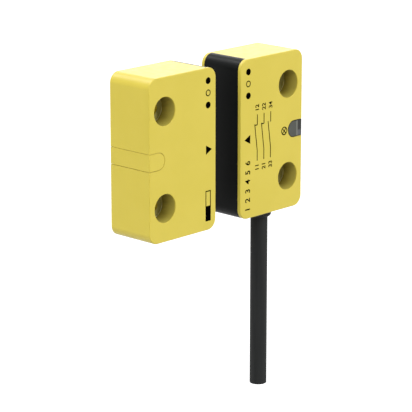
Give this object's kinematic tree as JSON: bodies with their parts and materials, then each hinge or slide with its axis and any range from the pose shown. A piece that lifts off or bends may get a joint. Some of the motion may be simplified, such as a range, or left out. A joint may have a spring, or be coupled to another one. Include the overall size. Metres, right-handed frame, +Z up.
{
  "type": "magnetic guard interlock switch",
  "caption": "Two-part non-contact guard switch: a wired reed switch block and a magnet block, each in a rounded yellow housing with counterbored screw holes and a black lid.",
  "frame": {"origin": "centre of the switch block's two screw holes, on its flat mounting face", "axes": "+X points away from the magnet block, +Y into the mounting surface, +Z up, with the lead leaving the switch block downwards"},
  "size_m": [0.062, 0.015, 0.1],
  "materials": {
    "yellow_housing": "moulded PBT, fine satin spark texture",
    "yellow_blank": "moulded PBT, fine satin spark texture",
    "black_lid": "moulded black PBT, satin",
    "smoky_window": "smoke-tinted polycarbonate, clear gloss",
    "green_board": "glass-fibre board with solder resist",
    "lamp_body": "white moulded lamp body with a clear dome",
    "black_ceramic": "thick-film chip",
    "tan_ceramic": "multilayer chip",
    "moulded_epoxy": "black moulding compound",
    "potting_resin": "cast epoxy",
    "grommet_rubber": "moulded, satin",
    "lead_jacket_pvc": "extruded oil-resistant PVC, matt",
    "copper_strand": "bunched copper strands",
    "grey_carrier": "moulded",
    "reed_glass": "sealed glass tube",
    "reed_metal": "nickel-iron, plated",
    "magnet_plating": "nickel-plated magnet",
    "brown_insulation": "extruded PVC",
    "blue_insulation": "extruded PVC",
    "black_insulation": "extruded PVC",
    "white_insulation": "extruded PVC",
    "grey_insulation": "extruded PVC",
    "pink_insulation": "extruded PVC"
  },
  "bodies": {
    "switch": {"switch_housing": "yellow_housing", "switch_lid": "black_lid", "indicator_window": "smoky_window", "circuit_board": "green_board", "status_led": "lamp_body", "chip_resistors": "black_ceramic", "chip_capacitor": "tan_ceramic", "output_transistor": "moulded_epoxy", "suppressor_diode": "moulded_epoxy", "reed_glass_upper": "reed_glass", "reed_glass_middle": "reed_glass", "reed_glass_lower": "reed_glass", "reed_blades_upper": "reed_metal", "reed_blades_middle": "reed_metal", "reed_blades_lower": "reed_metal", "potting_block": "potting_resin", "cable_grommet": "grommet_rubber", "lead_jacket": "lead_jacket_pvc", "wire_conductors": "copper_strand", "wire_brown": "brown_insulation", "wire_blue": "blue_insulation", "wire_black": "black_insulation", "wire_white": "white_insulation", "wire_grey": "grey_insulation", "wire_pink": "pink_insulation"},
    "actuator": {"actuator_housing": "yellow_housing", "actuator_lid": "black_lid", "window_blank": "yellow_blank", "magnet_carrier": "grey_carrier", "magnet_upper": "magnet_plating", "magnet_middle": "magnet_plating", "magnet_lower": "magnet_plating"}
  },
  "joints": [
    {"name": "guard_travel", "type": "slide", "parent": "switch", "child": "actuator", "axis": [-1, 0, 0], "range_m": [-0.009, 0.03]}
  ]
}
